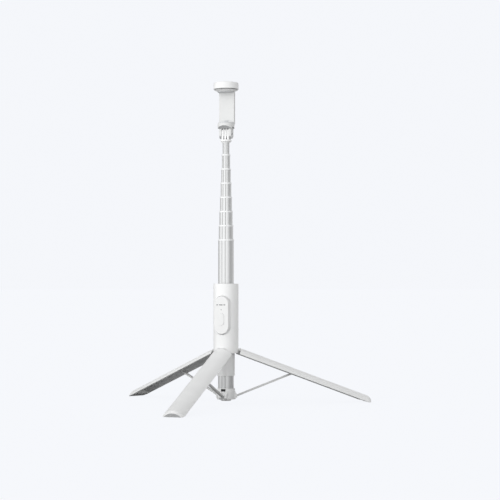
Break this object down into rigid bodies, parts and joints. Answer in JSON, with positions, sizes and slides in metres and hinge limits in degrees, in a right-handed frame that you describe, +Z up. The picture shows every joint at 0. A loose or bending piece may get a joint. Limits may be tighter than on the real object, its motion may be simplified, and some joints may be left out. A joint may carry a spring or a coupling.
{
  "type": "tripod selfie stick",
  "caption": "White telescoping selfie stick standing on a folding strut-braced tripod, with a clip-on remote in the handle and a spring phone clamp on top.",
  "frame": {"origin": "on the pole's axis at the level of the floor under the leg tips", "axes": "+Z up along the pole, -Y towards the front leg, the remote and the clamp's open side, +X to the front's right"},
  "size_m": [0.4242, 0.3703, 0.5146],
  "materials": {
    "board_green": "lacquered circuit board",
    "cell_steel": "pressed can",
    "grey_steel": "stamped strip",
    "light_lens": "smoked lens",
    "silver_tube": "bright satin anodised",
    "soft_grey": "soft moulded pad",
    "steel_pin": "turned",
    "white_bush": "moulded acetal",
    "white_gloss": "polished white ABS",
    "white_plastic": "satin moulded ABS"
  },
  "bodies": {
    "handle": {"handle_shell": "white_plastic", "slide_sleeve": "white_plastic", "leg_collar": "white_plastic", "handle_fasteners": "steel_pin", "remote_cradle": "white_plastic"},
    "remote": {"remote_front_case": "white_gloss", "remote_back_case": "white_plastic", "remote_pcb": "board_green", "coin_cell": "cell_steel", "status_light": "light_lens"},
    "shutter": {"shutter_button": "white_gloss"},
    "leg_front": {"leg_shell_front": "white_plastic", "leg_tip_front": "white_plastic", "leg_bracket_front": "white_plastic", "strut_pin_front": "steel_pin"},
    "strut_front": {"strut_front": "grey_steel"},
    "leg_right": {"leg_shell_right": "white_plastic", "leg_tip_right": "white_plastic", "leg_bracket_right": "white_plastic", "strut_pin_right": "steel_pin"},
    "strut_right": {"strut_right": "grey_steel"},
    "leg_left": {"leg_shell_left": "white_plastic", "leg_tip_left": "white_plastic", "leg_bracket_left": "white_plastic", "strut_pin_left": "steel_pin"},
    "strut_left": {"strut_left": "grey_steel"},
    "pole": {"hub": "white_plastic", "hub_foot": "white_plastic", "hub_fasteners": "steel_pin", "tube_8": "silver_tube", "tube_8_bushes": "white_bush"},
    "section_7": {"tube_7": "silver_tube", "tube_7_bushes": "white_bush"},
    "section_6": {"tube_6": "silver_tube", "tube_6_bushes": "white_bush"},
    "section_5": {"tube_5": "silver_tube", "tube_5_bushes": "white_bush"},
    "section_4": {"tube_4": "silver_tube", "tube_4_bushes": "white_bush"},
    "section_3": {"tube_3": "silver_tube", "tube_3_bushes": "white_bush"},
    "section_2": {"tube_2": "silver_tube", "tube_2_bushes": "white_bush"},
    "section_1": {"tube_1": "silver_tube", "tube_1_bushes": "white_bush", "tube_top_plug": "white_plastic"},
    "head": {"pan_base": "white_plastic", "pan_screw": "steel_pin"},
    "clamp": {"clamp_body": "white_plastic", "clamp_back_cover": "white_plastic", "tilt_bolt": "steel_pin", "lower_pad": "soft_grey", "clamp_springs": "steel_pin"},
    "upper_jaw": {"slider_comb": "white_plastic", "top_jaw": "white_plastic", "top_pad": "soft_grey"}
  },
  "joints": [
    {"name": "leg_fold", "type": "hinge", "parent": "handle", "child": "leg_front", "pos_m": [0, -0.0158, 0.0875], "axis": [-1, 0, 0], "range_deg": [-69.5, 0]},
    {"name": "strut_front_swing", "type": "hinge", "parent": "leg_front", "child": "strut_front", "pos_m": [0, -0.11556, 0.0502], "axis": [-1, 0, 0], "range_deg": [0, 139]},
    {"name": "leg_right_fold", "type": "hinge", "parent": "handle", "child": "leg_right", "pos_m": [0.01368, 0.0079, 0.0875], "axis": [0.5, -0.866, 0], "range_deg": [-69.5, 0]},
    {"name": "strut_right_swing", "type": "hinge", "parent": "leg_right", "child": "strut_right", "pos_m": [0.10007, 0.05778, 0.0502], "axis": [0.5, -0.866, 0], "range_deg": [0, 139]},
    {"name": "leg_left_fold", "type": "hinge", "parent": "handle", "child": "leg_left", "pos_m": [-0.01368, 0.0079, 0.0875], "axis": [0.5, 0.866, 0], "range_deg": [-69.5, 0]},
    {"name": "strut_left_swing", "type": "hinge", "parent": "leg_left", "child": "strut_left", "pos_m": [-0.10007, 0.05778, 0.0502], "axis": [0.5, 0.866, 0], "range_deg": [0, 139]},
    {"name": "pole_drop", "type": "hinge", "parent": "strut_front", "child": "pole", "pos_m": [0, -0.0158, 0.01291], "axis": [-1, 0, 0], "range_deg": [-69.5, 0]},
    {"name": "tube_7_slide", "type": "slide", "parent": "pole", "child": "section_7", "axis": [0, 0, 1], "range_m": [-0.02, 0.17]},
    {"name": "tube_6_slide", "type": "slide", "parent": "section_7", "child": "section_6", "axis": [0, 0, 1], "range_m": [-0.02, 0.17]},
    {"name": "tube_5_slide", "type": "slide", "parent": "section_6", "child": "section_5", "axis": [0, 0, 1], "range_m": [-0.02, 0.17]},
    {"name": "tube_4_slide", "type": "slide", "parent": "section_5", "child": "section_4", "axis": [0, 0, 1], "range_m": [-0.02, 0.17]},
    {"name": "tube_3_slide", "type": "slide", "parent": "section_4", "child": "section_3", "axis": [0, 0, 1], "range_m": [-0.02, 0.17]},
    {"name": "tube_2_slide", "type": "slide", "parent": "section_3", "child": "section_2", "axis": [0, 0, 1], "range_m": [-0.02, 0.17]},
    {"name": "tube_1_slide", "type": "slide", "parent": "section_2", "child": "section_1", "axis": [0, 0, 1], "range_m": [-0.018, 0.17]},
    {"name": "head_turn", "type": "hinge", "parent": "section_1", "child": "head", "pos_m": [0, 0, 0.42], "axis": [0, 0, 1], "continuous": true},
    {"name": "clamp_tilt", "type": "hinge", "parent": "head", "child": "clamp", "pos_m": [0, 0.001, 0.4312], "axis": [1, 0, 0], "range_deg": [0, 90]},
    {"name": "jaw_stretch", "type": "slide", "parent": "clamp", "child": "upper_jaw", "axis": [0, 0, 1], "range_m": [0, 0.04], "stiffness_N_per_m": 150, "springref_m": -0.02, "deforming": ["clamp_springs"]},
    {"name": "remote_pull_off", "type": "slide", "parent": "handle", "child": "remote", "axis": [0, -1, 0], "range_m": [0, 0.03]},
    {"name": "shutter_press", "type": "slide", "parent": "remote", "child": "shutter", "axis": [0, -1, 0], "range_m": [-0.0006, 0], "stiffness_N_per_m": 1000, "springref_m": 0.0008}
  ],
  "couplings": [
    {"joint": "strut_front_swing", "follows": "leg_fold", "ratio": -2},
    {"joint": "leg_right_fold", "follows": "leg_fold", "ratio": 1},
    {"joint": "strut_right_swing", "follows": "leg_fold", "ratio": -2},
    {"joint": "leg_left_fold", "follows": "leg_fold", "ratio": 1},
    {"joint": "strut_left_swing", "follows": "leg_fold", "ratio": -2},
    {"joint": "pole_drop", "follows": "leg_fold", "ratio": 1}
  ]
}
